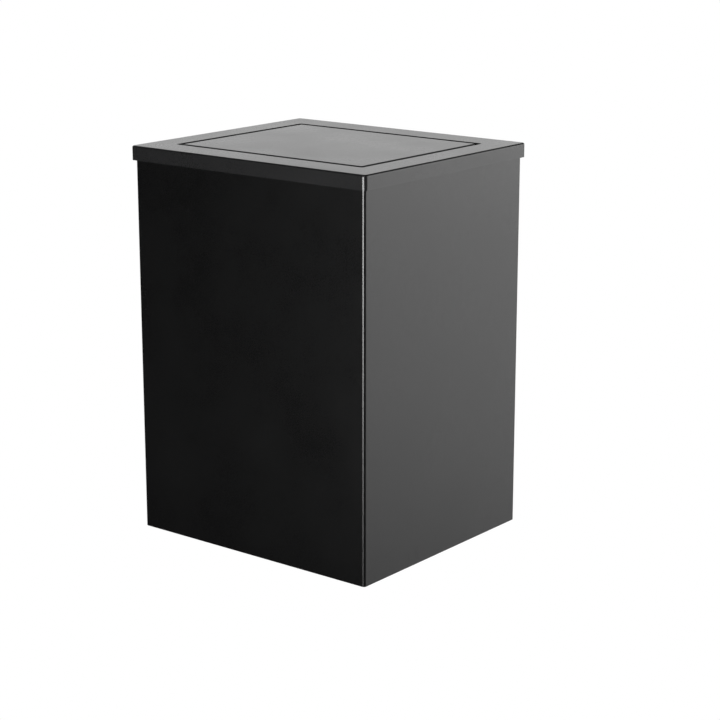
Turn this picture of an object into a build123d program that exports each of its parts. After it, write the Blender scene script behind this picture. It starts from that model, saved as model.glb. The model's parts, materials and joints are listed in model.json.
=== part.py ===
from build123d import *
import math
import os

# Parcel drop box in folded sheet steel. Millimetres, +Z up, front towards -Y, right side
# towards +X, origin on the floor under the middle of the box.

# ---------------------------------------------------------------- driving dimensions
WIDTH = 400.0  # body, left to right
DEPTH = 350.0  # body, front to back
HEIGHT = 550.0  # floor to the top of the cap
SHEET = 1.5  # body and cap sheet
BODY_BEND = 4.0  # outer radius of the body's folds
CAP_CORNER = 5.5  # outer radius of the cap's upright corners
EDGE_BEND = 2.5  # outer radius of the cap's and the flap's folds
FLANGE = 15.0  # how far the top frame reaches in from the outer faces
REAR_FLANGE = 18.0  # width of the rear panel's top flange
FOOT_PROUD = 1.0  # the feet lift the body by this much

CAP_OVERHANG = 4.5  # cap past the body, all round
SKIRT = 20.0  # height of the cap's skirt
CAP_REST_GAP = 2.0  # between the body's top flange and the cap's underside

FLAP_MARGIN_X = 45.0  # cap edge to the middle of the flap's gap, left and right
FLAP_MARGIN_Y = 50.0  # the same, front and back
FLAP_GAP = 4.5  # clear gap round the flap
FLAP_SHEET = 1.2
RIM = 12.0  # depth of the turned-down edges of the flap and its aperture
APERTURE_CORNER = 2.0
FLAP_CORNER = 4.0

LOCK_Y = -105.0
LOCK_Z = 505.0

PIVOT_DROP = 20.0  # flap pivot below the cap's top
PIVOT_INSET = 8.0  # flap pivot in front of the flap's rear edge
ROD_RADIUS = 4.0

RUN_CLEARANCE = 0.05  # radial, where one piece turns in another
FIT_CLEARANCE = 0.1  # round fasteners and fixed plates

RIVET_R = 1.9  # shank
RIVET_HEAD_R = 3.2
RIVET_HEAD = 1.0  # head height
RIVET_HEAD_ROUND = 0.8

# ---------------------------------------------------------------- derived places
HALF_W = WIDTH / 2
HALF_D = DEPTH / 2
BODY_BOTTOM = FOOT_PROUD
CAP_UNDER = HEIGHT - SHEET
BODY_TOP = CAP_UNDER - CAP_REST_GAP
SKIRT_BOTTOM = HEIGHT - SKIRT
CAP_HALF_W = HALF_W + CAP_OVERHANG
CAP_HALF_D = HALF_D + CAP_OVERHANG
APERTURE_X = CAP_HALF_W - FLAP_MARGIN_X + FLAP_GAP / 2
APERTURE_Y = CAP_HALF_D - FLAP_MARGIN_Y + FLAP_GAP / 2
FLAP_X = APERTURE_X - FLAP_GAP
FLAP_Y = APERTURE_Y - FLAP_GAP
FLAP_UNDER = HEIGHT - FLAP_SHEET
RIM_BOTTOM = HEIGHT - RIM
PIVOT_Y = FLAP_Y - PIVOT_INSET
PIVOT_Z = HEIGHT - PIVOT_DROP

# Rear seam: the wrap's return flanges lap over the joggled edges of the rear panel.
RETURN_X = HALF_W - 18.0  # inner edge of the wrap's return flanges
PANEL_X = RETURN_X - 1.0  # edge of the rear panel's flush middle
JOGGLE_X = HALF_W - BODY_BEND - 0.2  # outer edge of the joggled strips
JOGGLE_LAP = 3.0  # the strip and the middle share this much
WRAP_RIVET_X = HALF_W - 11.0
PANEL_RIVET_HEIGHTS = [40.0, 150.0, 260.0, 370.0, 480.0]
WALL_HOLE_X = 140.0
WALL_HOLE_HEIGHTS = [120.0, 440.0]
WALL_HOLE_R = 4.25
REAR_HOLES_Y = (170.0, 185.0)  # cutters that pass through the rear sheets reach over this span

# Base
TRAY_FLOOR = BODY_BOTTOM + SHEET
TRAY_HALF_W = HALF_W - SHEET - 0.5
TRAY_FRONT = -HALF_D + SHEET + 0.5
TRAY_BACK = HALF_D - 2 * SHEET - 0.5
TRAY_RIM = 5.0
ANCHOR_X = 120.0
ANCHOR_Y = 95.0
ANCHOR_R = 4.5
FOOT_X = 160.0
FOOT_Y = 135.0
FOOT_R = 12.5
FOOT_STEM_R = 3.0
MAT_THICK = 3.0
MAT_MARGIN = 10.0
MAT_GROOVES = 17
MAT_ANCHOR_HOLE_R = 11.0
MAT_FOOT_HOLE_R = 6.0

# Top frame
FRAME_DROP = 12.0
FRAME_BACK = HALF_D - BODY_BEND - 0.2

# Rear hinge
KNUCKLE_R = 2.45
HINGE_PIN_R = 1.25
LEAF = 1.2
LEAF_HALF_LENGTH = 170.0
LEAF_DROP = 28.0
KNUCKLES = 17
KNUCKLE_SPACE = 0.4  # end gap between neighbouring knuckles
HINGE_Y = HALF_D + KNUCKLE_R + 0.4
HINGE_Z = SKIRT_BOTTOM - KNUCKLE_R - 0.45
LEAF_RIVET_PITCH = 40.0
LOWER_RIVET_Z = HINGE_Z - 16.0
UPPER_RIVET_Z = HINGE_Z + 12.0

# Lid stops: straps curved about the hinge, with a cross pin that meets the rear flange.
STOP_X = 100.0
STOP_PLATE = 3.0
STOP_INNER_R = 20.8
STOP_OUTER_R = 25.0
STOP_NOTCH = 5.0
STOP_PIN_R = 2.5
STOP_PIN_LENGTH = 14.0
OPEN_ANGLE = 101.5  # the pins meet the flange at this angle

# Lid buffers
BUFFER_R = 5.0
BUFFER_STEM_R = 2.4
BUFFER_SPOTS = [(x, y) for x in (-HALF_W + 9.5, HALF_W - 9.5) for y in (-140.0, 125.0)]

# Weld studs and nuts
STUD_R = 2.0
STUD_LENGTH = 9.0
NUT_FLATS = 7.0
NUT_HEIGHT = 3.2
STUD_HOLE_R = STUD_R + FIT_CLEARANCE
STRAP = 2.0  # thickness of brackets, feet and lugs

# Flap pivot
BRACKET_X = APERTURE_X + 4.5  # inner face of each pivot bracket
LUG_X = FLAP_X - 11.5  # inner face of each flap lug
BUSH_R = 6.0
LUG_HUB_R = 9.0
FINGER_R = 17.0
FINGER_HALF_WIDTH = 3.0
FINGER_LEAN = 36.0  # degrees forward of straight down, so it meets its ear at 81 degrees
ROD_HALF_LENGTH = BRACKET_X + 6.0
CLIP_X = BRACKET_X + STRAP + 0.4
GROOVE_WIDTH = 1.2
GROOVE_DEPTH = 0.8

# Torsion springs
WIRE_R = 1.25
COIL_R = 7.0
COIL_TURNS = 20
COIL_END_X = LUG_X - 17.0
COIL_START_X = COIL_END_X - COIL_TURNS * 2 * WIRE_R
LEG_R = 1.1  # the legs are a shade thinner than the coil, which keeps their surfaces apart
LEG_ROOT = 0.8  # each leg starts this far back, inside the last turn

# Flap stop at the front edge
TONGUE_HALF_LENGTH = 120.0
TONGUE_TOP = RIM_BOTTOM - 2.0
TONGUE_TIP = -APERTURE_Y - 7.5
BUMPER_X = 85.0
BUMPER_HALF_LENGTH = 15.0
BUMPER_THICK = 1.7

# Lock
BARREL_R = 9.5
PLUG_R = 6.0
SQUARE_HALF = 3.5  # half the width of the plug's square tail
SCREW_R = 1.6
CAM_X = -HALF_W + 20.0
CAM_LENGTH = 32.0
CAM_HALF_WIDTH = 7.0
KEEPER_X = CAM_X + 5.0
KEEPER_FRONT = LOCK_Y - 30.0
KEEPER_BACK = LOCK_Y - 15.0


# ---------------------------------------------------------------- small helpers
def block(x0, x1, y0, y1, z0, z1):
    """A box between two corners."""
    middle = Pos((x0 + x1) / 2, (y0 + y1) / 2, (z0 + z1) / 2)
    return middle * Box(abs(x1 - x0), abs(y1 - y0), abs(z1 - z0))


def bar_x(radius, x0, x1, y, z):
    """A round bar along X."""
    return Pos((x0 + x1) / 2, y, z) * Rot(0, 90, 0) * Cylinder(radius, abs(x1 - x0))


def bar_y(radius, x, y0, y1, z):
    """A round bar along Y."""
    return Pos(x, (y0 + y1) / 2, z) * Rot(90, 0, 0) * Cylinder(radius, abs(y1 - y0))


def bar_z(radius, x, y, z0, z1):
    """A round bar along Z."""
    return Pos(x, y, (z0 + z1) / 2) * Cylinder(radius, abs(z1 - z0))


def bar_between(radius, start, end):
    """A round bar from one point to another."""
    path = end - start
    plane = Plane(origin=start, z_dir=path)
    return plane * Cylinder(radius, path.length, align=(Align.CENTER, Align.CENTER, Align.MIN))


def rounded_block(x0, x1, y0, y1, z0, z1, corner, top, bottom=0.0):
    """A box with rounded upright corners and rounded top and, if asked, bottom edges."""
    solid = fillet(block(x0, x1, y0, y1, z0, z1).edges().filter_by(Axis.Z), corner)
    if top:
        solid = fillet(solid.edges().group_by(Axis.Z)[-1], top)
    if bottom:
        solid = fillet(solid.edges().group_by(Axis.Z)[0], bottom)
    return solid


def both_sides(solid):
    """A piece of the right-hand side and its mirror image on the left."""
    return [solid, mirror(solid, about=Plane.YZ)]


def save(name, solids):
    """Write one node: a single solid, or a group of separate solids."""
    group = solids if isinstance(solids, list) else [solids]
    pieces = [piece for member in group for piece in member.solids()]
    shape = pieces[0] if len(pieces) == 1 else Compound(children=pieces)
    export_step(shape, os.path.join("parts", name + ".step"))


def rivet_hole_y(x, z):
    """Cutter for a rivet through the rear sheets."""
    return bar_y(RIVET_R + FIT_CLEARANCE, x, *REAR_HOLES_Y, z)


def rivet_head_y(x, z, face):
    """Rounded rivet head that stands on `face`, which looks towards +Y."""
    head = bar_y(RIVET_HEAD_R, x, face, face + RIVET_HEAD, z)
    return fillet(head.edges().group_by(Axis.Y)[-1], RIVET_HEAD_ROUND)


def dome_rivet_y(x, z, face, grip):
    """A blind rivet along Y: head outside `face`, which looks towards +Y, tail behind `grip`."""
    shank = bar_y(RIVET_R, x, face, face - grip, z)
    tail = bar_y(RIVET_R + 0.6, x, face - grip - 1.1, face - grip, z)
    return shank + rivet_head_y(x, z, face) + fillet(tail.edges().group_by(Axis.Y)[0], 0.5)


def hex_nut(x, y, z_top):
    """A chamfered hexagon nut that hangs under a bracket."""
    body = extrude(RegularPolygon(NUT_FLATS / 2, 6, major_radius=False), NUT_HEIGHT)
    chamfer_cone = Pos(0, 0, NUT_HEIGHT / 2) * Cylinder(NUT_FLATS / 2 + 0.3, NUT_HEIGHT)
    hole = Pos(0, 0, NUT_HEIGHT / 2) * Cylinder(STUD_R + RUN_CLEARANCE, NUT_HEIGHT * 2)
    nut = (body & fillet(chamfer_cone.edges().filter_by(GeomType.CIRCLE), 0.4)) - hole
    return Pos(x, y, z_top - NUT_HEIGHT) * nut


def stud(x, y, z_top):
    """A weld stud that hangs from the underside of a sheet."""
    return bar_z(STUD_R, x, y, z_top - STUD_LENGTH, z_top + 0.2)


def drill_for_studs(solid, spots, z_top):
    """Holes for weld studs through a piece that lies under the sheet at z_top."""
    for x, y in spots:
        solid -= bar_z(STUD_HOLE_R, x, y, z_top - 5, z_top + 1)
    return solid


# ---------------------------------------------------------------- body
def body_wrap():
    """Front, sides and narrow rear returns in one folded sheet."""
    outside = (-HALF_W, HALF_W, -HALF_D, HALF_D)
    inside = [edge - math.copysign(SHEET, edge) for edge in outside]
    wrap = rounded_block(*outside, BODY_BOTTOM, BODY_TOP, BODY_BEND, 0)
    wrap -= rounded_block(*inside, BODY_BOTTOM - 1, BODY_TOP + 1, BODY_BEND - SHEET, 0)
    wrap -= block(-RETURN_X, RETURN_X, HALF_D - 5, HALF_D + 1, 0, HEIGHT)
    for side in (-1, 1):
        for height in PANEL_RIVET_HEIGHTS:
            wrap -= rivet_hole_y(side * WRAP_RIVET_X, height)
    return wrap - bar_x(BARREL_R + FIT_CLEARANCE, -HALF_W - 1, -HALF_W + 4, LOCK_Y, LOCK_Z)


def top_frame():
    """Angle-section frame welded inside the top of the wrap, at the front and the sides."""
    outside = (-HALF_W + SHEET, HALF_W - SHEET, -HALF_D + SHEET, HALF_D)
    inside = [edge - math.copysign(SHEET, edge) for edge in outside]
    bottom = BODY_TOP - FRAME_DROP
    frame = rounded_block(*outside, bottom, BODY_TOP, BODY_BEND - SHEET, 2.0)
    frame -= rounded_block(*inside, bottom - 1, BODY_TOP - SHEET, BODY_BEND - 2 * SHEET, 0.5)
    mouth_x = HALF_W - FLANGE
    frame -= block(-mouth_x, mouth_x, -HALF_D + FLANGE, HALF_D + 1, bottom - 1, HEIGHT)
    frame -= block(-HALF_W, HALF_W, FRAME_BACK, HALF_D + 1, bottom - 1, HEIGHT)
    for x, y in BUFFER_SPOTS:
        frame -= bar_z(BUFFER_STEM_R + FIT_CLEARANCE, x, y, BODY_TOP - 4, BODY_TOP + 1)
    return frame


def rear_panel():
    """Flush rear sheet with a top flange and joggled side edges."""
    inner_face = HALF_D - SHEET
    span = (-PANEL_X, PANEL_X)
    sheet = block(*span, HALF_D - REAR_FLANGE, HALF_D, BODY_BOTTOM, BODY_TOP)
    sheet = fillet(top_rear_edge(sheet), BODY_BEND)
    hollow = block(-HALF_W, HALF_W, 0, inner_face, 0, BODY_TOP - SHEET)
    panel = sheet - fillet(top_rear_edge(hollow), BODY_BEND - SHEET)
    for side in (-1, 1):
        strip_x = (side * (PANEL_X - JOGGLE_LAP), side * JOGGLE_X)
        strip_z = (BODY_BOTTOM, BODY_TOP - BODY_BEND - 0.2)
        panel += block(*strip_x, inner_face - SHEET, inner_face, *strip_z)
        notch_x = (side * STOP_X - STOP_NOTCH / 2, side * STOP_X + STOP_NOTCH / 2)
        notch_y = (HALF_D - REAR_FLANGE - 1, inner_face - 1)
        panel -= block(*notch_x, *notch_y, BODY_TOP - 2 * SHEET, BODY_TOP + 1)
        for height in PANEL_RIVET_HEIGHTS:
            panel -= rivet_hole_y(side * WRAP_RIVET_X, height)
        for height in WALL_HOLE_HEIGHTS:
            panel -= bar_y(WALL_HOLE_R, side * WALL_HOLE_X, *REAR_HOLES_Y, height)
    for x in leaf_rivet_places():
        panel -= rivet_hole_y(x, LOWER_RIVET_Z)
    return panel


def top_rear_edge(solid):
    """The upper of a block's two rear edges along X."""
    return solid.edges().filter_by(Axis.X).group_by(Axis.Y)[-1].sort_by(Axis.Z)[-1]


def panel_rivets():
    """Rivets through the wrap's return flanges and the rear panel's joggled edges."""
    return [
        dome_rivet_y(side * WRAP_RIVET_X, height, HALF_D, 2 * SHEET)
        for side in (-1, 1)
        for height in PANEL_RIVET_HEIGHTS
    ]


def base_tray():
    """Floor plate welded into the foot of the body by its short upturned edges."""
    top = TRAY_FLOOR + TRAY_RIM
    outside = (-TRAY_HALF_W, TRAY_HALF_W, TRAY_FRONT, TRAY_BACK)
    inside = [edge - math.copysign(SHEET, edge) for edge in outside]
    folds = (BODY_BEND - SHEET, 0, EDGE_BEND - SHEET)
    tray = rounded_block(*outside, TRAY_FLOOR, top, BODY_BEND, 0, EDGE_BEND)
    tray -= rounded_block(*inside, TRAY_FLOOR + SHEET, top + 1, *folds)
    for x, y in anchor_spots():
        tray -= bar_z(ANCHOR_R, x, y, 0, 10)
    for x, y in foot_spots():
        tray -= bar_z(FOOT_STEM_R + FIT_CLEARANCE, x, y, 0, 10)
    return tray


def anchor_spots():
    """Floor anchor holes, as (x, y)."""
    return [(x, y) for x in (-ANCHOR_X, ANCHOR_X) for y in (-ANCHOR_Y, ANCHOR_Y)]


def foot_spots():
    """Rubber feet, as (x, y)."""
    return [(x, y) for x in (-FOOT_X, FOOT_X) for y in (-FOOT_Y, FOOT_Y)]


def feet():
    """Push-in rubber feet: a disc under the tray, a stem through it and a bulb above."""
    made = []
    for x, y in foot_spots():
        disc = bar_z(FOOT_R, x, y, 0, TRAY_FLOOR)
        disc = fillet(disc.edges().filter_by(GeomType.CIRCLE).group_by(Axis.Z)[0], 0.8)
        stem = bar_z(FOOT_STEM_R, x, y, TRAY_FLOOR - 0.1, TRAY_FLOOR + SHEET + 0.1)
        bulb = bar_z(FOOT_STEM_R + 1.0, x, y, TRAY_FLOOR + SHEET, TRAY_FLOOR + SHEET + 2.4)
        bulb = fillet(bulb.edges().filter_by(GeomType.CIRCLE).group_by(Axis.Z)[-1], 1.5)
        made.append(disc + stem + bulb)
    return made


def floor_mat():
    """Rubber mat in the tray, with holes over the anchors and the feet, and shallow grooves."""
    under = TRAY_FLOOR + SHEET
    top = under + MAT_THICK
    half_w = TRAY_HALF_W - SHEET - MAT_MARGIN
    front = TRAY_FRONT + SHEET + MAT_MARGIN
    back = TRAY_BACK - SHEET - MAT_MARGIN
    mat = rounded_block(-half_w, half_w, front, back, under, top, 8.0, 0.6)
    first = -half_w + 10.0
    pitch = -2 * first / (MAT_GROOVES - 1)
    for index in range(MAT_GROOVES):
        x = first + index * pitch
        mat -= block(x - 1.5, x + 1.5, front + 8, back - 8, top - 1, top + 1)
    for x, y in anchor_spots():
        mat -= bar_z(MAT_ANCHOR_HOLE_R, x, y, 0, 20)
    for x, y in foot_spots():
        mat -= bar_z(MAT_FOOT_HOLE_R, x, y, 0, 20)
    return mat


def lid_buffers():
    """Push-in rubber buffers that the cap comes down on."""
    made = []
    for x, y in BUFFER_SPOTS:
        pad = bar_z(BUFFER_R, x, y, BODY_TOP, BODY_TOP + CAP_REST_GAP - 0.3)
        pad = fillet(pad.edges().filter_by(GeomType.CIRCLE).group_by(Axis.Z)[-1], 0.8)
        stem = bar_z(BUFFER_STEM_R, x, y, BODY_TOP - SHEET - 0.1, BODY_TOP + 0.1)
        bulb = bar_z(BUFFER_STEM_R + 0.8, x, y, BODY_TOP - SHEET - 2.4, BODY_TOP - SHEET)
        bulb = fillet(bulb.edges().filter_by(GeomType.CIRCLE).group_by(Axis.Z)[0], 1.2)
        made.append(pad + stem + bulb)
    return made


# ---------------------------------------------------------------- rear hinge
def leaf_rivet_places():
    """Rivets along each hinge leaf, as x."""
    count = int(2 * (LEAF_HALF_LENGTH - 10.0) // LEAF_RIVET_PITCH) + 1
    first = -(count - 1) / 2 * LEAF_RIVET_PITCH
    return [first + index * LEAF_RIVET_PITCH for index in range(count)]


def hinge_leaf(upper):
    """One leaf of the piano hinge: a strip, and every second knuckle on the shared pin."""
    pitch = 2 * LEAF_HALF_LENGTH / KNUCKLES
    clear = KNUCKLE_R + 0.55
    if upper:
        wall = CAP_HALF_D - SHEET
        strip_z = (HINGE_Z + clear, CAP_UNDER - 3.0)
        root_z = (HINGE_Z + 1.8, HINGE_Z + clear)
        rivet_z = UPPER_RIVET_Z
        strip_y = (wall - LEAF, wall)
    else:
        strip_z = (HINGE_Z - LEAF_DROP, HINGE_Z - clear)
        root_z = (HINGE_Z - clear, HINGE_Z)
        rivet_z = LOWER_RIVET_Z
        strip_y = (HALF_D, HALF_D + LEAF)
    leaf = block(-LEAF_HALF_LENGTH, LEAF_HALF_LENGTH, *strip_y, *strip_z)
    for index in range(1 if upper else 0, KNUCKLES, 2):
        x0 = -LEAF_HALF_LENGTH + index * pitch + KNUCKLE_SPACE / 2
        x1 = x0 + pitch - KNUCKLE_SPACE
        leaf += block(x0, x1, *strip_y, *root_z)
        leaf += bar_x(KNUCKLE_R, x0, x1, HINGE_Y, HINGE_Z)
    reach = LEAF_HALF_LENGTH + 1
    leaf -= bar_x(HINGE_PIN_R + RUN_CLEARANCE, -reach, reach, HINGE_Y, HINGE_Z)
    for x in leaf_rivet_places():
        leaf -= rivet_hole_y(x, rivet_z)
    return leaf


def hinge_pin():
    """The long hinge pin, with a peened head at each end."""
    end = LEAF_HALF_LENGTH + 0.3
    pin = bar_x(HINGE_PIN_R, -end, end, HINGE_Y, HINGE_Z)
    head = bar_x(HINGE_PIN_R + 0.65, end, end + 1.2, HINGE_Y, HINGE_Z)
    head = fillet(head.edges().group_by(Axis.X)[-1], 0.6)
    for peened_head in both_sides(head):
        pin += peened_head
    return pin


def lower_leaf_rivets():
    """Rivets through the lower leaf and the rear panel."""
    face = HALF_D + LEAF
    return [dome_rivet_y(x, LOWER_RIVET_Z, face, LEAF + SHEET) for x in leaf_rivet_places()]


def upper_leaf_rivets():
    """Rivets through the rear skirt, with flat tails that clear the body."""
    rivets = []
    tail_face = CAP_HALF_D - SHEET - LEAF
    for x in leaf_rivet_places():
        shank = bar_y(RIVET_R, x, CAP_HALF_D, tail_face, UPPER_RIVET_Z)
        tail = bar_y(RIVET_R + 0.7, x, tail_face - 0.7, tail_face, UPPER_RIVET_Z)
        rivets.append(shank + rivet_head_y(x, UPPER_RIVET_Z, CAP_HALF_D) + tail)
    return rivets


# ---------------------------------------------------------------- lid stops
def stop_pin_centre():
    """Where the cross pin sits with the cap shut: OPEN_ANGLE short of the flange."""
    radius = (STOP_INNER_R + STOP_OUTER_R) / 2
    meets = math.acos((BODY_TOP - SHEET - STOP_PIN_R - HINGE_Z) / radius)
    angle = -meets - math.radians(OPEN_ANGLE)
    return HINGE_Y + radius * math.sin(angle), HINGE_Z + radius * math.cos(angle)


def lid_stop_quadrant():
    """Right-hand strap curved about the hinge, on a foot under the cap."""
    pin_y, pin_z = stop_pin_centre()
    x0 = STOP_X - STOP_PLATE / 2
    x1 = STOP_X + STOP_PLATE / 2
    ring = bar_x(STOP_OUTER_R, x0, x1, HINGE_Y, HINGE_Z)
    ring -= bar_x(STOP_INNER_R, x0 - 1, x1 + 1, HINGE_Y, HINGE_Z)
    # The strap keeps only the part of the ring on the inner side, from the pin to the cap.
    ring &= block(x0, x1, HINGE_Y - STOP_OUTER_R, pin_y, pin_z, CAP_UNDER)
    shoulder = block(x0, x1, HINGE_Y - 40.0, HINGE_Y - 15.0, HINGE_Z + 12.0, CAP_UNDER)
    shoulder -= bar_x(STOP_INNER_R, x0 - 1, x1 + 1, HINGE_Y, HINGE_Z)
    boss = bar_x(STOP_PIN_R + 2.2, x0, x1, pin_y, pin_z)
    foot_y = (HALF_D - REAR_FLANGE - 20.0, HALF_D - REAR_FLANGE - 2.0)
    foot = block(x1 - 0.1, x1 + 24.0, *foot_y, CAP_UNDER - STRAP, CAP_UNDER)
    strap = ring + shoulder + boss + foot
    strap -= bar_x(STOP_PIN_R + FIT_CLEARANCE, x0 - 1, x1 + 1, pin_y, pin_z)
    return drill_for_studs(strap, stop_stud_spots(), CAP_UNDER)


def stop_stud_spots():
    """Studs that hold the right-hand quadrant's foot."""
    first_x = STOP_X + STOP_PLATE / 2 + 6.5
    y = HALF_D - REAR_FLANGE - 11.0
    return [(first_x, y), (first_x + 11.0, y)]


def lid_stop_pins():
    """Cross pins pressed through the ends of the quadrants."""
    pin_y, pin_z = stop_pin_centre()
    half = STOP_PIN_LENGTH / 2
    pin = bar_x(STOP_PIN_R, STOP_X - half, STOP_X + half, pin_y, pin_z)
    return both_sides(chamfer(pin.edges().filter_by(GeomType.CIRCLE), 0.4))


# ---------------------------------------------------------------- cap
def cap_stud_spots():
    """Weld studs under the cap, for the brackets, the lid stops and the keeper."""
    spots = [(BRACKET_X + 9.5, PIVOT_Y + offset) for offset in (-6.0, 6.0)] + stop_stud_spots()
    spots += [(-x, y) for x, y in spots]
    keeper_x = KEEPER_X + 4.5
    return spots + [(keeper_x, KEEPER_FRONT - 4.0), (keeper_x, KEEPER_BACK + 6.0)]


def cap_lid():
    """Top plate with a turned-down skirt and a turned-down rim round the aperture."""
    outside = (-CAP_HALF_W, CAP_HALF_W, -CAP_HALF_D, CAP_HALF_D)
    inside = [edge - math.copysign(SHEET, edge) for edge in outside]
    opening = (-APERTURE_X, APERTURE_X, -APERTURE_Y, APERTURE_Y)
    rim_outside = [edge + math.copysign(SHEET, edge) for edge in opening]
    folds = (CAP_CORNER - SHEET, EDGE_BEND - SHEET)
    outer = rounded_block(*outside, SKIRT_BOTTOM, HEIGHT, CAP_CORNER, EDGE_BEND)
    inner = rounded_block(*inside, SKIRT_BOTTOM - 1, CAP_UNDER, *folds)
    rim = rounded_block(*rim_outside, RIM_BOTTOM, HEIGHT, APERTURE_CORNER + SHEET, 0)
    aperture = rounded_block(*opening, RIM_BOTTOM - 1, HEIGHT + 1, APERTURE_CORNER, 0)
    cap = outer - (inner - rim) - aperture
    top_edges = cap.edges().filter_by_position(Axis.Z, HEIGHT - 0.01, HEIGHT + 0.01)
    cap = fillet([edge for edge in top_edges if is_aperture_edge(edge)], EDGE_BEND)
    for x, y in cap_stud_spots():
        cap += stud(x, y, CAP_UNDER)
    for x in leaf_rivet_places():
        cap -= rivet_hole_y(x, UPPER_RIVET_Z)
    return cap


def is_aperture_edge(edge):
    """Whether an edge of the cap's top face runs round the flap's aperture."""
    middle = edge.center()
    return abs(middle.X) < APERTURE_X + 1 and abs(middle.Y) < APERTURE_Y + 1


def pivot_bracket():
    """Right-hand bracket: a foot under the cap, a web for the rod and an ear to stop the flap."""
    x0 = BRACKET_X
    x1 = BRACKET_X + STRAP
    foot = block(x0, x0 + 16.0, PIVOT_Y - 11, PIVOT_Y + 11, CAP_UNDER - STRAP, CAP_UNDER)
    web = block(x0, x1, PIVOT_Y - 10, PIVOT_Y + 10, PIVOT_Z - 8, CAP_UNDER)
    web = fillet(web.edges().filter_by(Axis.X).group_by(Axis.Z)[0], 4.0)
    web += block(x0, x1, PIVOT_Y, PIVOT_Y + 12.5, PIVOT_Z - 6, PIVOT_Z + 4)
    ear = block(LUG_X - 3.0, x1, PIVOT_Y + 10.5, PIVOT_Y + 12.5, PIVOT_Z - 6, PIVOT_Z + 4)
    bracket = foot + web + ear
    bracket -= bar_x(ROD_RADIUS + FIT_CLEARANCE, x0 - 1, x1 + 1, PIVOT_Y, PIVOT_Z)
    return drill_for_studs(bracket, cap_stud_spots(), CAP_UNDER)


def pivot_rod():
    """The flap's rod, with a clip groove near each end."""
    rod = bar_x(ROD_RADIUS, -ROD_HALF_LENGTH, ROD_HALF_LENGTH, PIVOT_Y, PIVOT_Z)
    rod = chamfer(rod.edges().filter_by(GeomType.CIRCLE), 0.6)
    groove = bar_x(ROD_RADIUS + 1, CLIP_X, CLIP_X + GROOVE_WIDTH, PIVOT_Y, PIVOT_Z)
    groove -= bar_x(ROD_RADIUS - GROOVE_DEPTH, CLIP_X - 1, CLIP_X + 2, PIVOT_Y, PIVOT_Z)
    for cut in both_sides(groove):
        rod -= cut
    return rod


def rod_clips():
    """E-clips in the rod's grooves."""
    x0 = CLIP_X + 0.1
    x1 = CLIP_X + GROOVE_WIDTH - 0.1
    clip = bar_x(ROD_RADIUS + 3.0, x0, x1, PIVOT_Y, PIVOT_Z)
    clip -= bar_x(ROD_RADIUS - GROOVE_DEPTH + RUN_CLEARANCE, x0 - 1, x1 + 1, PIVOT_Y, PIVOT_Z)
    clip -= block(x0 - 1, x1 + 1, PIVOT_Y - 2.6, PIVOT_Y + 2.6, PIVOT_Z - 10, PIVOT_Z)
    return both_sides(clip)


def rod_spacers():
    """Nylon tubes that keep the flap central between its brackets."""
    x0 = LUG_X + STRAP + 1.5
    x1 = BRACKET_X - 0.3
    tube = bar_x(BUSH_R, x0, x1, PIVOT_Y, PIVOT_Z)
    return both_sides(tube - bar_x(ROD_RADIUS + RUN_CLEARANCE, x0 - 1, x1 + 1, PIVOT_Y, PIVOT_Z))


def spring_right():
    """Close-wound torsion spring: one leg under the flap, one under the cap's rear rim."""
    pitch = 2 * WIRE_R * 0.96  # neighbouring turns share a sliver, so the coil is one solid
    first_x = COIL_START_X + WIRE_R
    last_x = first_x + (COIL_TURNS - 1) * pitch
    wire_ends = Sketch()
    for index in range(COIL_TURNS):
        wire_ends += Pos(first_x + index * pitch, COIL_R) * Circle(WIRE_R)
    coil = Pos(0, PIVOT_Y, PIVOT_Z) * revolve(wire_ends, Axis.X)
    flap_leg = leg_points(last_x, -30.0, FLAP_UNDER - WIRE_R - 0.15 - PIVOT_Z)
    cap_leg = leg_points(
        first_x, APERTURE_Y + SHEET / 2 - PIVOT_Y, RIM_BOTTOM - WIRE_R - 0.3 - PIVOT_Z
    )
    return coil + bar_between(LEG_R, *flap_leg) + bar_between(LEG_R, *cap_leg)


def leg_points(x, dy, dz):
    """A leg that leaves the coil at a tangent and ends (dy, dz) from the pivot."""
    reach = math.hypot(dy, dz)
    angle = math.atan2(dz, dy) - math.acos(COIL_R / reach)
    touch = Vector(x, PIVOT_Y + COIL_R * math.cos(angle), PIVOT_Z + COIL_R * math.sin(angle))
    end = Vector(x, PIVOT_Y + dy, PIVOT_Z + dz)
    return touch - (end - touch).normalized() * LEG_ROOT, end


def cap_nuts():
    """Nuts on the cap's studs."""
    return [hex_nut(x, y, CAP_UNDER - STRAP) for x, y in cap_stud_spots()]


def lock_keeper():
    """Hook under the cap: a foot plate, a strap and a lip that the lock's cam covers."""
    foot_y = (KEEPER_FRONT - 9, KEEPER_BACK + 11)
    foot = block(KEEPER_X - 6, KEEPER_X + 9, *foot_y, CAP_UNDER - STRAP, CAP_UNDER)
    span = (KEEPER_FRONT, KEEPER_BACK)
    lip_top = LOCK_Z - CAM_HALF_WIDTH - 1.0
    strap = block(KEEPER_X, KEEPER_X + STRAP, *span, lip_top - STRAP, CAP_UNDER)
    lip = block(KEEPER_X - 7, KEEPER_X + STRAP, *span, lip_top - STRAP, lip_top)
    return drill_for_studs(foot + strap + lip, cap_stud_spots(), CAP_UNDER)


# ---------------------------------------------------------------- flap
def flap_stud_spots():
    """Weld studs under the flap, for the lugs and the stop."""
    spots = [(LUG_X - 8.0, PIVOT_Y + offset) for offset in (-22.0, -10.0)]
    spots.append((BUMPER_X, -FLAP_Y + 17.0))
    return spots + [(-x, y) for x, y in spots]


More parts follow.
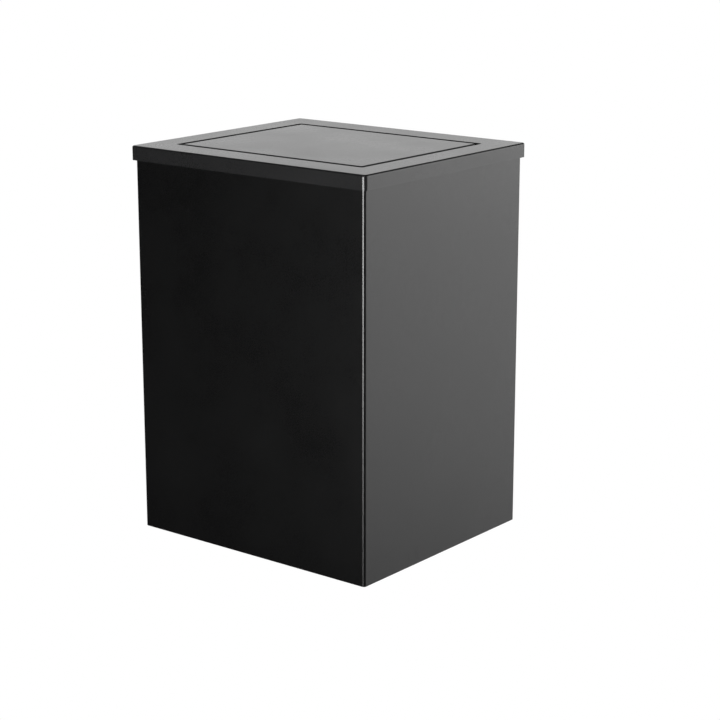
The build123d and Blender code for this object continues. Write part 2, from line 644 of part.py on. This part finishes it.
def flap_panel():
    """Flush folded tray with its open side down."""
    outside = (-FLAP_X, FLAP_X, -FLAP_Y, FLAP_Y)
    inside = [edge - math.copysign(FLAP_SHEET, edge) for edge in outside]
    folds = (FLAP_CORNER - FLAP_SHEET, EDGE_BEND - FLAP_SHEET)
    flap = rounded_block(*outside, RIM_BOTTOM, HEIGHT, FLAP_CORNER, EDGE_BEND)
    flap -= rounded_block(*inside, RIM_BOTTOM - 1, FLAP_UNDER, *folds)
    for x, y in flap_stud_spots():
        flap += stud(x, y, FLAP_UNDER)
    return flap


def flap_lug():
    """Right-hand hinge ear of the flap: foot, web with a bush hole, and a stop finger."""
    x0 = LUG_X
    x1 = LUG_X + STRAP
    foot = block(x0 - 14.0, x1, PIVOT_Y - 30, PIVOT_Y - 2, FLAP_UNDER - STRAP, FLAP_UNDER)
    web = block(x0, x1, PIVOT_Y - 30, PIVOT_Y - 2, PIVOT_Z + 9, FLAP_UNDER)
    hub = bar_x(LUG_HUB_R, x0, x1, PIVOT_Y, PIVOT_Z)
    arm = block(x0, x1, PIVOT_Y - LUG_HUB_R, PIVOT_Y, PIVOT_Z, PIVOT_Z + 12)
    finger = block(x0, x1, -FINGER_HALF_WIDTH, FINGER_HALF_WIDTH, -FINGER_R, 0)
    finger = Pos(0, PIVOT_Y, PIVOT_Z) * Rot(-FINGER_LEAN, 0, 0) * finger
    lug = foot + web + hub + arm + finger
    lug -= bar_x(BUSH_R + FIT_CLEARANCE, x0 - 1, x1 + 1, PIVOT_Y, PIVOT_Z)
    return drill_for_studs(lug, flap_stud_spots(), FLAP_UNDER)


def flap_bush():
    """Nylon bush with a flange on the inner side of the lug and a snap lip outside."""
    sleeve = bar_x(BUSH_R, LUG_X - 0.1, LUG_X + STRAP + 1.2, PIVOT_Y, PIVOT_Z)
    flange = bar_x(BUSH_R + 2.0, LUG_X - 1.6, LUG_X - 0.1, PIVOT_Y, PIVOT_Z)
    bore = bar_x(ROD_RADIUS + RUN_CLEARANCE, LUG_X - 3, LUG_X + 6, PIVOT_Y, PIVOT_Z)
    return sleeve + flange - bore


def flap_nuts():
    """Nuts on the flap's studs."""
    return [hex_nut(x, y, FLAP_UNDER - STRAP) for x, y in flap_stud_spots()]


def flap_stiffener():
    """Hat section across the middle of the flap, spot-welded by its brims."""
    half = FLAP_X - 22.0
    crown_z = FLAP_UNDER - 9.0
    crown_y = 20.0
    wall_y = crown_y - FLAP_SHEET
    crown = block(-half, half, -crown_y, crown_y, crown_z, FLAP_UNDER)
    crown = fillet(crown.edges().filter_by(Axis.X).group_by(Axis.Z)[0], 2.0)
    hollow = block(-half - 1, half + 1, -wall_y, wall_y, crown_z + FLAP_SHEET, HEIGHT)
    brims = block(-half, half, -32, 32, FLAP_UNDER - FLAP_SHEET, FLAP_UNDER)
    return crown + brims - hollow


def flap_stop():
    """Folded tongue inside the flap's front edge that reaches under the cap's rim."""
    wall = -FLAP_Y + EDGE_BEND + 0.2
    span = (-TONGUE_HALF_LENGTH, TONGUE_HALF_LENGTH)
    foot = block(*span, wall, wall + 24.0, FLAP_UNDER - STRAP, FLAP_UNDER)
    web = block(*span, wall, wall + STRAP, TONGUE_TOP - STRAP, FLAP_UNDER)
    tongue = block(*span, TONGUE_TIP, wall + STRAP, TONGUE_TOP - STRAP, TONGUE_TOP)
    tongue = fillet(tongue.edges().filter_by(Axis.Z).group_by(Axis.Y)[0], 5.0)
    return drill_for_studs(foot + web + tongue, flap_stud_spots(), FLAP_UNDER)


def stop_bumpers():
    """Rubber pads on the tongue, under the cap's front rim."""
    span_x = (BUMPER_X - BUMPER_HALF_LENGTH, BUMPER_X + BUMPER_HALF_LENGTH)
    span_y = (TONGUE_TIP + 1.0, TONGUE_TIP + 8.0)
    pad = block(*span_x, *span_y, TONGUE_TOP, TONGUE_TOP + BUMPER_THICK)
    return both_sides(fillet(pad.edges().filter_by(Axis.Z), 2.5))


# ---------------------------------------------------------------- lock
def lock_barrel():
    """Round barrel through the left wall, with a flange outside."""
    barrel = bar_x(BARREL_R, -HALF_W, CAM_X - 2.0, LOCK_Y, LOCK_Z)
    flange = bar_x(12.0, -HALF_W - 2.5, -HALF_W, LOCK_Y, LOCK_Z)
    flange = fillet(flange.edges().group_by(Axis.X)[0], 1.2)
    bore = bar_x(PLUG_R + RUN_CLEARANCE, -HALF_W - 5, CAM_X, LOCK_Y, LOCK_Z)
    return barrel + flange - bore


def lock_washer():
    """Flat washer between the nut and the wall."""
    ring = bar_x(13.0, -HALF_W + SHEET, -HALF_W + SHEET + 1.2, LOCK_Y, LOCK_Z)
    return ring - bar_x(BARREL_R + FIT_CLEARANCE, -HALF_W, -HALF_W + 5, LOCK_Y, LOCK_Z)


def lock_nut():
    """Large hexagon nut that clamps the barrel to the wall."""
    x0 = -HALF_W + SHEET + 1.2
    height = 5.0
    nut = extrude(RegularPolygon(12.0, 6, major_radius=False), height)
    rounding = Pos(0, 0, height / 2) * Cylinder(13.2, height)
    nut &= fillet(rounding.edges().filter_by(GeomType.CIRCLE), 0.8)
    nut -= Cylinder(BARREL_R + FIT_CLEARANCE, 4 * height)
    return Pos(x0, LOCK_Y, LOCK_Z) * Rot(0, 90, 0) * nut


def lock_plug():
    """Turning core: key slot outside, shoulder and square tail inside."""
    plug = bar_x(PLUG_R, -HALF_W - 2.3, CAM_X - 1.8, LOCK_Y, LOCK_Z)
    plug += bar_x(PLUG_R + 1.6, CAM_X - 1.8, CAM_X, LOCK_Y, LOCK_Z)
    plug += square_bar_x(SQUARE_HALF, CAM_X - 0.1, CAM_X + STRAP)
    key_slot = Pos(-HALF_W + 2, LOCK_Y, LOCK_Z) * Box(12.0, 1.4, 7.6)
    thread = bar_x(SCREW_R + RUN_CLEARANCE, CAM_X - 8, CAM_X + 5, LOCK_Y, LOCK_Z)
    return plug - key_slot - thread


def square_bar_x(half, x0, x1):
    """A square bar on the lock's axis."""
    return block(x0, x1, LOCK_Y - half, LOCK_Y + half, LOCK_Z - half, LOCK_Z + half)


def lock_cam():
    """Flat cam on the plug's tail: upright when unlocked, forward over the lip when locked."""
    x0 = CAM_X
    x1 = CAM_X + STRAP
    hub = bar_x(9.0, x0, x1, LOCK_Y, LOCK_Z)
    arm_y = (LOCK_Y - CAM_HALF_WIDTH, LOCK_Y + CAM_HALF_WIDTH)
    arm = block(x0, x1, *arm_y, LOCK_Z, LOCK_Z + CAM_LENGTH)
    arm = fillet(arm.edges().filter_by(Axis.X).group_by(Axis.Z)[-1], 4.0)
    return hub + arm - square_bar_x(SQUARE_HALF + FIT_CLEARANCE, x0 - 1, x1 + 1)


def cam_screw():
    """Pan-head screw that holds the cam on."""
    face = CAM_X + STRAP
    top = face + 2.4
    head = bar_x(5.0, face, top, LOCK_Y, LOCK_Z)
    head = fillet(head.edges().group_by(Axis.X)[-1], 1.2)
    for turn in (0, 90):
        head -= Pos(top, LOCK_Y, LOCK_Z) * Rot(turn, 0, 0) * Box(2.4, 4.4, 1.0)
    return head + bar_x(SCREW_R, CAM_X - 6.0, face + 0.2, LOCK_Y, LOCK_Z)


# ---------------------------------------------------------------- nodes
def nodes():
    """Every node by name, body by body."""
    spring = spring_right()
    return {
        "body_wrap": body_wrap(),
        "top_frame": top_frame(),
        "rear_panel": rear_panel(),
        "panel_rivets": panel_rivets(),
        "base_tray": base_tray(),
        "feet": feet(),
        "floor_mat": floor_mat(),
        "lid_buffers": lid_buffers(),
        "hinge_leaf_lower": hinge_leaf(upper=False),
        "hinge_pin": hinge_pin(),
        "lower_leaf_rivets": lower_leaf_rivets(),
        "lock_barrel": lock_barrel(),
        "lock_washer": lock_washer(),
        "lock_nut": lock_nut(),
        "cap_lid": cap_lid(),
        "hinge_leaf_upper": hinge_leaf(upper=True),
        "upper_leaf_rivets": upper_leaf_rivets(),
        "lid_stop_quadrants": both_sides(lid_stop_quadrant()),
        "lid_stop_pins": lid_stop_pins(),
        "lock_keeper": lock_keeper(),
        "pivot_brackets": both_sides(pivot_bracket()),
        "pivot_rod": pivot_rod(),
        "rod_clips": rod_clips(),
        "rod_spacers": rod_spacers(),
        "spring_right": spring,
        "spring_left": mirror(spring, about=Plane.YZ),
        "cap_nuts": cap_nuts(),
        "flap_panel": flap_panel(),
        "flap_lugs": both_sides(flap_lug()),
        "flap_bushes": both_sides(flap_bush()),
        "flap_stiffener": flap_stiffener(),
        "flap_stop": flap_stop(),
        "stop_bumpers": stop_bumpers(),
        "flap_nuts": flap_nuts(),
        "lock_plug": lock_plug(),
        "lock_cam": lock_cam(),
        "cam_screw": cam_screw(),
    }


os.makedirs("parts", exist_ok=True)
for node_name, node_solids in nodes().items():
    save(node_name, node_solids)
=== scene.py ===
import json
import math

import bmesh
import bpy
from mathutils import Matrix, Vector


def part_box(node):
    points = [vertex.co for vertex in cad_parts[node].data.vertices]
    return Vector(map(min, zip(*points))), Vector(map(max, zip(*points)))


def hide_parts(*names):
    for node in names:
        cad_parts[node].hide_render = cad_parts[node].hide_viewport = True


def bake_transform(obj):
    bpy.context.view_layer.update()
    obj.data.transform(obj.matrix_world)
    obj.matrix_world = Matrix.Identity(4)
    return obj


# Parcel drop box: looks, light and camera. Metres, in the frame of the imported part.

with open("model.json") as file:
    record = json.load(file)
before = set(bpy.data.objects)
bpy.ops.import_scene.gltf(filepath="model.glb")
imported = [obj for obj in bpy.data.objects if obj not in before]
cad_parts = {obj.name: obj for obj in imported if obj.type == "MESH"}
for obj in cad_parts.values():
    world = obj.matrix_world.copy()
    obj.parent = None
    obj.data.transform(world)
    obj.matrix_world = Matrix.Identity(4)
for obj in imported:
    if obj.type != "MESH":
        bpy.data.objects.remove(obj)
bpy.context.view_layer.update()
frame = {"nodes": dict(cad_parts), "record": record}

MM = 0.001


# ---------------------------------------------------------------- node helpers
class Nodes:
    """A small wrapper that adds shader nodes and links them in one call."""

    def __init__(self, name):
        self.material = bpy.data.materials.new(name)
        self.material.use_nodes = True
        self.tree = self.material.node_tree
        self.tree.nodes.clear()
        self.output = self.tree.nodes.new("ShaderNodeOutputMaterial")
        self.shader = self.tree.nodes.new("ShaderNodeBsdfPrincipled")
        self.tree.links.new(self.shader.outputs["BSDF"], self.output.inputs["Surface"])
        self.place = self.tree.nodes.new("ShaderNodeTexCoord").outputs["Object"]

    def link(self, source, target):
        self.tree.links.new(source, target)

    def noise(self, scale, detail=2.0, roughness=0.5, stretch=None):
        """Noise over the object's own coordinates; stretch scales them along X, Y and Z first."""
        node = self.tree.nodes.new("ShaderNodeTexNoise")
        node.inputs["Scale"].default_value = scale
        node.inputs["Detail"].default_value = detail
        node.inputs["Roughness"].default_value = roughness
        self.link(self.stretched(stretch), node.inputs["Vector"])
        return node.outputs["Fac"]

    def stretched(self, stretch):
        if stretch is None:
            return self.place
        mapping = self.tree.nodes.new("ShaderNodeMapping")
        mapping.inputs["Scale"].default_value = stretch
        self.link(self.place, mapping.inputs["Vector"])
        return mapping.outputs["Vector"]

    def cells(self, scale):
        node = self.tree.nodes.new("ShaderNodeTexVoronoi")
        node.inputs["Scale"].default_value = scale
        self.link(self.place, node.inputs["Vector"])
        return node.outputs["Distance"]

    def spread(self, value, low, high, start=0.3, end=0.7):
        """Maps a value from start..end to low..high."""
        node = self.tree.nodes.new("ShaderNodeMapRange")
        node.inputs["From Min"].default_value = start
        node.inputs["From Max"].default_value = end
        node.inputs["To Min"].default_value = low
        node.inputs["To Max"].default_value = high
        self.link(value, node.inputs["Value"])
        return node.outputs["Result"]

    def colours(self, value, dark, light, start=0.3, end=0.7):
        """A two-colour ramp."""
        node = self.tree.nodes.new("ShaderNodeValToRGB")
        ramp = node.color_ramp
        ramp.elements[0].position, ramp.elements[1].position = start, end
        ramp.elements[0].color = (*dark, 1.0)
        ramp.elements[1].color = (*light, 1.0)
        self.link(value, node.inputs["Fac"])
        return node.outputs["Color"]

    def math(self, operation, a, b):
        node = self.tree.nodes.new("ShaderNodeMath")
        node.operation = operation
        for socket, value in zip(node.inputs, (a, b)):
            if isinstance(value, (int, float)):
                socket.default_value = value
            else:
                self.link(value, socket)
        return node.outputs["Value"]

    def mixed(self, a, share_a, b, share_b):
        """The weighted sum of two values."""
        return self.math("ADD", self.math("MULTIPLY", a, share_a), self.math("MULTIPLY", b, share_b))

    def bump(self, height, strength, distance, under=None):
        node = self.tree.nodes.new("ShaderNodeBump")
        node.inputs["Strength"].default_value = strength
        node.inputs["Distance"].default_value = distance
        self.link(height, node.inputs["Height"])
        if under is not None:
            self.link(under, node.inputs["Normal"])
        return node.outputs["Normal"]

    def finish(self, colour, roughness, normal=None, **fixed):
        self.link(colour, self.shader.inputs["Base Color"])
        self.link(roughness, self.shader.inputs["Roughness"])
        if normal is not None:
            self.link(normal, self.shader.inputs["Normal"])
        for socket, value in fixed.items():
            self.shader.inputs[socket.replace("_", " ")].default_value = value
        return self.material


# ---------------------------------------------------------------- materials
def powder_coat(name, dark, light, grain=0.16):
    """Fine-textured powder coat: orange peel, fine grain and slight unevenness."""
    m = Nodes(name)
    peel = m.noise(260.0, 2.0)
    fine = m.noise(1150.0, 3.0, 0.6)
    patches = m.noise(9.0, 3.0)
    colour = m.colours(m.mixed(fine, 0.7, patches, 0.3), dark, light)
    roughness = m.spread(m.mixed(fine, 0.5, patches, 0.5), 0.25, 0.32)
    normal = m.bump(fine, grain, 0.25 * MM, m.bump(peel, 0.1, 0.4 * MM))
    return m.finish(colour, roughness, normal)


def rubber(name, dark, light):
    m = Nodes(name)
    speck = m.noise(1400.0, 2.0)
    dust = m.noise(45.0, 4.0)
    colour = m.colours(dust, dark, light)
    roughness = m.spread(dust, 0.68, 0.86)
    return m.finish(colour, roughness, m.bump(speck, 0.35, 0.15 * MM))


def drawn_steel(name, dark, light, stretch, low=0.22, high=0.4):
    """Bare or oiled steel with fine lines along the piece."""
    m = Nodes(name)
    lines = m.noise(900.0, 3.0, 0.6, stretch)
    stain = m.noise(30.0, 3.0)
    colour = m.colours(stain, dark, light)
    roughness = m.spread(lines, low, high)
    return m.finish(colour, roughness, m.bump(lines, 0.25, 0.04 * MM), Metallic=1.0)


def zinc(name):
    """Bright zinc plate: pale, slightly blue, with faint blotches and passivation tint."""
    m = Nodes(name)
    blotch = m.noise(85.0, 4.0, 0.6)
    spangle = m.cells(420.0)
    tint = m.noise(22.0, 2.0)
    colour = m.colours(m.mixed(blotch, 0.6, tint, 0.4), (0.45, 0.46, 0.47), (0.66, 0.67, 0.68))
    roughness = m.spread(m.math("ADD", blotch, m.math("MULTIPLY", spangle, 0.4)), 0.28, 0.48)
    return m.finish(colour, roughness, m.bump(spangle, 0.12, 0.05 * MM), Metallic=1.0)


def nylon(name, dark, light):
    m = Nodes(name)
    grain = m.noise(700.0, 2.0)
    cloud = m.noise(60.0, 3.0)
    colour = m.colours(cloud, dark, light)
    roughness = m.spread(grain, 0.4, 0.55)
    return m.finish(colour, roughness, m.bump(grain, 0.2, 0.05 * MM))


def nickel(name):
    m = Nodes(name)
    wear = m.noise(300.0, 4.0, 0.65)
    tone = m.noise(50.0, 2.0)
    colour = m.colours(tone, (0.6, 0.59, 0.57), (0.74, 0.73, 0.71))
    roughness = m.spread(wear, 0.14, 0.3)
    return m.finish(colour, roughness, m.bump(wear, 0.08, 0.04 * MM), Metallic=1.0)


MATERIALS = {
    "black_powder_coat": powder_coat("powder_coat", (0.002, 0.002, 0.0021), (0.006, 0.006, 0.0062)),
    "black_hinge": powder_coat("hinge_paint", (0.013, 0.013, 0.014), (0.022, 0.022, 0.023), 0.1),
    "black_rivet": powder_coat("rivet_paint", (0.015, 0.015, 0.016), (0.028, 0.028, 0.029), 0.08),
    "black_rubber": rubber("foot_rubber", (0.016, 0.016, 0.016), (0.034, 0.033, 0.032)),
    "mat_rubber": rubber("mat_rubber", (0.024, 0.024, 0.025), (0.05, 0.049, 0.048)),
    "bright_steel": drawn_steel("ground_steel", (0.4, 0.4, 0.41), (0.56, 0.56, 0.57), (0.05, 1.0, 1.0)),
    "zinc_plate": zinc("zinc_plate"),
    "spring_steel": drawn_steel("spring_steel", (0.2, 0.19, 0.18), (0.34, 0.33, 0.31), (1.0, 1.0, 1.0)),
    "white_nylon": nylon("white_nylon", (0.7, 0.69, 0.64), (0.8, 0.79, 0.75)),
    "black_acetal": nylon("black_acetal", (0.018, 0.018, 0.018), (0.03, 0.03, 0.03)),
    "lock_chrome": nickel("lock_nickel"),
}

# Painted light: the cap and the flap get lighter copies of the body coat, which stand in for the
# brighter light these parts catch.
CAP_LIT_COAT = powder_coat("cap_coat_painted_light", (0.014, 0.014, 0.0144), (0.021, 0.021, 0.0215))
FLAP_LIT_COAT = powder_coat("flap_coat_painted_light", (0.016, 0.016, 0.0164), (0.026, 0.026, 0.0266))
LIT_COATS = {"cap_lid": CAP_LIT_COAT, "flap_panel": FLAP_LIT_COAT}


def dress_nodes():
    """Gives every carried-over node the material of its slot; the cap and the flap get lighter copies
    of the body coat as painted light.
    """
    slots = {part["node"]: part["material_slot"] for part in frame["record"]["subparts"]}
    for node, shown in frame["nodes"].items():
        mesh = shown.data
        mesh.materials.clear()
        mesh.materials.append(LIT_COATS.get(node, MATERIALS[slots[node]]))


dress_nodes()


# ---------------------------------------------------------------- springs
WIRE_R = 1.25 * MM
COIL_R = 7.0 * MM
COIL_TURNS = 20
TURN_STEPS = 28
LEG_STEPS = 6
WIRE_SIDES = 14
REAR_TIP_INSET = 1.1 * MM  # wire centre inside the plain spring's rear end
REAR_TIP_RISE = 6.45 * MM  # rear leg's tip above the pivot
FRONT_TIP_INSET = 0.6 * MM  # wire centre inside the plain spring's front end
FRONT_TIP_GAP = 0.1 * MM  # between the front leg and the plain spring's top


def spring_path(low, high, pivot):
    """Centre line of the right-hand spring: cap leg, coil, flap leg."""
    first_x, last_x = low.x + WIRE_R, high.x - WIRE_R
    rear_tip = Vector((first_x, high.y - REAR_TIP_INSET, pivot.z + REAR_TIP_RISE))
    front_tip = Vector((last_x, low.y + FRONT_TIP_INSET, high.z - WIRE_R - FRONT_TIP_GAP))
    start = tangent_angle(rear_tip, pivot)
    end = tangent_angle(front_tip, pivot)
    turns = COIL_TURNS - 1 + ((end - start) % (2 * math.pi)) / (2 * math.pi)
    total = int(turns * TURN_STEPS)
    coil = []
    for step in range(total + 1):
        along = step / total
        angle = start + along * turns * 2 * math.pi
        x = first_x + along * (last_x - first_x)
        y = pivot.y + COIL_R * math.cos(angle)
        z = pivot.z + COIL_R * math.sin(angle)
        coil.append(Vector((x, y, z)))
    rear = [rear_tip.lerp(coil[0], step / LEG_STEPS) for step in range(LEG_STEPS)]
    front = [coil[-1].lerp(front_tip, (step + 1) / LEG_STEPS) for step in range(LEG_STEPS)]
    return rear + coil + front


def tangent_angle(tip, pivot):
    """Where round the coil a straight leg to the tip leaves it."""
    dy, dz = tip.y - pivot.y, tip.z - pivot.z
    return math.atan2(dz, dy) - math.acos(COIL_R / math.hypot(dy, dz))


def wire_mesh(name, path, flip):
    """A round wire along the path, with flat closed ends."""
    bm = bmesh.new()
    rings = []
    side = Vector((1, 0, 0))
    for index, point in enumerate(path):
        ahead = path[min(index + 1, len(path) - 1)]
        behind = path[max(index - 1, 0)]
        tangent = (ahead - behind).normalized()
        side = (side - side.dot(tangent) * tangent).normalized()
        other = tangent.cross(side)
        ring = []
        for spoke in range(WIRE_SIDES):
            turn = 2 * math.pi * spoke / WIRE_SIDES
            offset = side * math.cos(turn) + other * math.sin(turn)
            ring.append(bm.verts.new(point + offset * WIRE_R))
        rings.append(ring)
    for near, far in zip(rings, rings[1:]):
        for spoke in range(WIRE_SIDES):
            after = (spoke + 1) % WIRE_SIDES
            bm.faces.new((near[spoke], near[after], far[after], far[spoke]))
    for ring, centre in ((rings[0], path[0]), (rings[-1], path[-1])):
        tip = bm.verts.new(centre)
        for spoke in range(WIRE_SIDES):
            bm.faces.new((ring[spoke], ring[(spoke + 1) % WIRE_SIDES], tip))
    if flip:
        for vert in bm.verts:
            vert.co.x = -vert.co.x
    bmesh.ops.recalc_face_normals(bm, faces=bm.faces)
    mesh = bpy.data.meshes.new(name)
    bm.to_mesh(mesh)
    bm.free()
    mesh.shade_smooth()
    mesh.materials.append(MATERIALS["spring_steel"])
    piece = bpy.data.objects.new(name, mesh)
    bpy.context.scene.collection.objects.link(piece)
    return piece


def torsion_springs():
    """Real coils in place of the two plain spring solids, built in one fixed shape; the real springs
    wind up as the flap opens.
    """
    low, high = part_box("spring_right")
    low, high = Vector(low), Vector(high)
    rod_low, rod_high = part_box("pivot_rod")
    pivot = (Vector(rod_low) + Vector(rod_high)) / 2
    path = spring_path(low, high, pivot)
    for name, sign in (("spring_right", 1), ("spring_left", -1)):
        coil = wire_mesh("coil_" + name, path, sign < 0)
        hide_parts(name)
        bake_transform(coil)


torsion_springs()


# ---------------------------------------------------------------- camera
CAMERA_AZIMUTH = 38.4  # degrees from straight in front towards the right
CAMERA_PITCH = 14.6  # degrees downwards
CAMERA_PLACE = (1.716, -2.097, 0.9485)
CAMERA_LENS = 98.95  # millimetres
SENSOR_WIDTH = 36.0  # millimetres


def make_camera():
    data = bpy.data.cameras.new("camera")
    data.lens = CAMERA_LENS
    data.sensor_width = SENSOR_WIDTH
    data.dof.use_dof = False
    camera = bpy.data.objects.new("camera", data)
    camera.location = CAMERA_PLACE
    camera.rotation_euler = (math.radians(90.0 - CAMERA_PITCH), 0.0, math.radians(CAMERA_AZIMUTH))
    bpy.context.scene.collection.objects.link(camera)
    bpy.context.scene.camera = camera


make_camera()


# ---------------------------------------------------------------- floor and light
WHITE = (1.0, 1.0, 1.0, 1.0)
FLOOR_GREY = (0.55, 0.55, 0.55, 1.0)
FLOOR_HALF = 40.0
WORLD_FILL = 0.02  # strength of the world as a light
MIDDLE = (0.0, 0.0, 0.3)


def make_floor():
    """A wide floor, plain white to the camera; the light meets a glossy grey."""
    bm = bmesh.new()
    bmesh.ops.create_grid(bm, x_segments=1, y_segments=1, size=FLOOR_HALF)
    mesh = bpy.data.meshes.new("floor")
    bm.to_mesh(mesh)
    bm.free()
    floor = bpy.data.objects.new("floor", mesh)
    bpy.context.scene.collection.objects.link(floor)
    m = Nodes("floor")
    nodes, links = m.tree.nodes, m.tree.links
    path = nodes.new("ShaderNodeLightPath")
    glow = nodes.new("ShaderNodeEmission")
    glow.inputs["Color"].default_value = WHITE
    glow.inputs["Strength"].default_value = 1.0
    mix = nodes.new("ShaderNodeMixShader")
    m.shader.inputs["Base Color"].default_value = FLOOR_GREY
    m.shader.inputs["Metallic"].default_value = 1.0
    m.shader.inputs["Roughness"].default_value = 0.3
    links.new(path.outputs["Is Camera Ray"], mix.inputs["Fac"])
    links.new(m.shader.outputs["BSDF"], mix.inputs[1])
    links.new(glow.outputs["Emission"], mix.inputs[2])
    links.new(mix.outputs["Shader"], m.output.inputs["Surface"])
    mesh.materials.append(m.material)


def make_world():
    """White to the camera, a faint fill as a light."""
    world = bpy.data.worlds.new("studio")
    world.use_nodes = True
    nodes, links = world.node_tree.nodes, world.node_tree.links
    nodes.clear()
    output = nodes.new("ShaderNodeOutputWorld")
    path = nodes.new("ShaderNodeLightPath")
    seen = nodes.new("ShaderNodeBackground")
    seen.inputs["Strength"].default_value = 1.0
    seen.inputs["Color"].default_value = WHITE
    fill = nodes.new("ShaderNodeBackground")
    fill.inputs["Strength"].default_value = WORLD_FILL
    fill.inputs["Color"].default_value = WHITE
    mix = nodes.new("ShaderNodeMixShader")
    links.new(path.outputs["Is Camera Ray"], mix.inputs["Fac"])
    links.new(fill.outputs["Background"], mix.inputs[1])
    links.new(seen.outputs["Background"], mix.inputs[2])
    links.new(mix.outputs["Shader"], output.inputs["Surface"])
    bpy.context.scene.world = world


def softbox(name, place, aim, width, height, radiance):
    """An area light of the given radiance, facing the aim point."""
    light = bpy.data.lights.new(name, "AREA")
    light.shape = "RECTANGLE"
    light.size, light.size_y = width, height
    light.energy = radiance * math.pi * width * height
    lamp = bpy.data.objects.new(name, light)
    lamp.location = place
    lamp.rotation_euler = (Vector(aim) - Vector(place)).to_track_quat("-Z", "Y").to_euler()
    lamp.visible_camera = False
    bpy.context.scene.collection.objects.link(lamp)


def make_lights():
    """Two walls of light behind the box and a low strip in front that draws the corner."""
    softbox("wall_back_left", (-2.3, 2.9, 1.1), MIDDLE, 5.0, 2.4, 1.1)
    softbox("wall_back_right", (2.6, 2.6, 0.65), MIDDLE, 3.6, 1.9, 2.95)
    softbox("strip_front", (0.35, -2.2, 0.22), MIDDLE, 1.4, 0.44, 20.0)


make_floor()
make_world()
make_lights()
bpy.context.scene.view_settings.view_transform = "Standard"
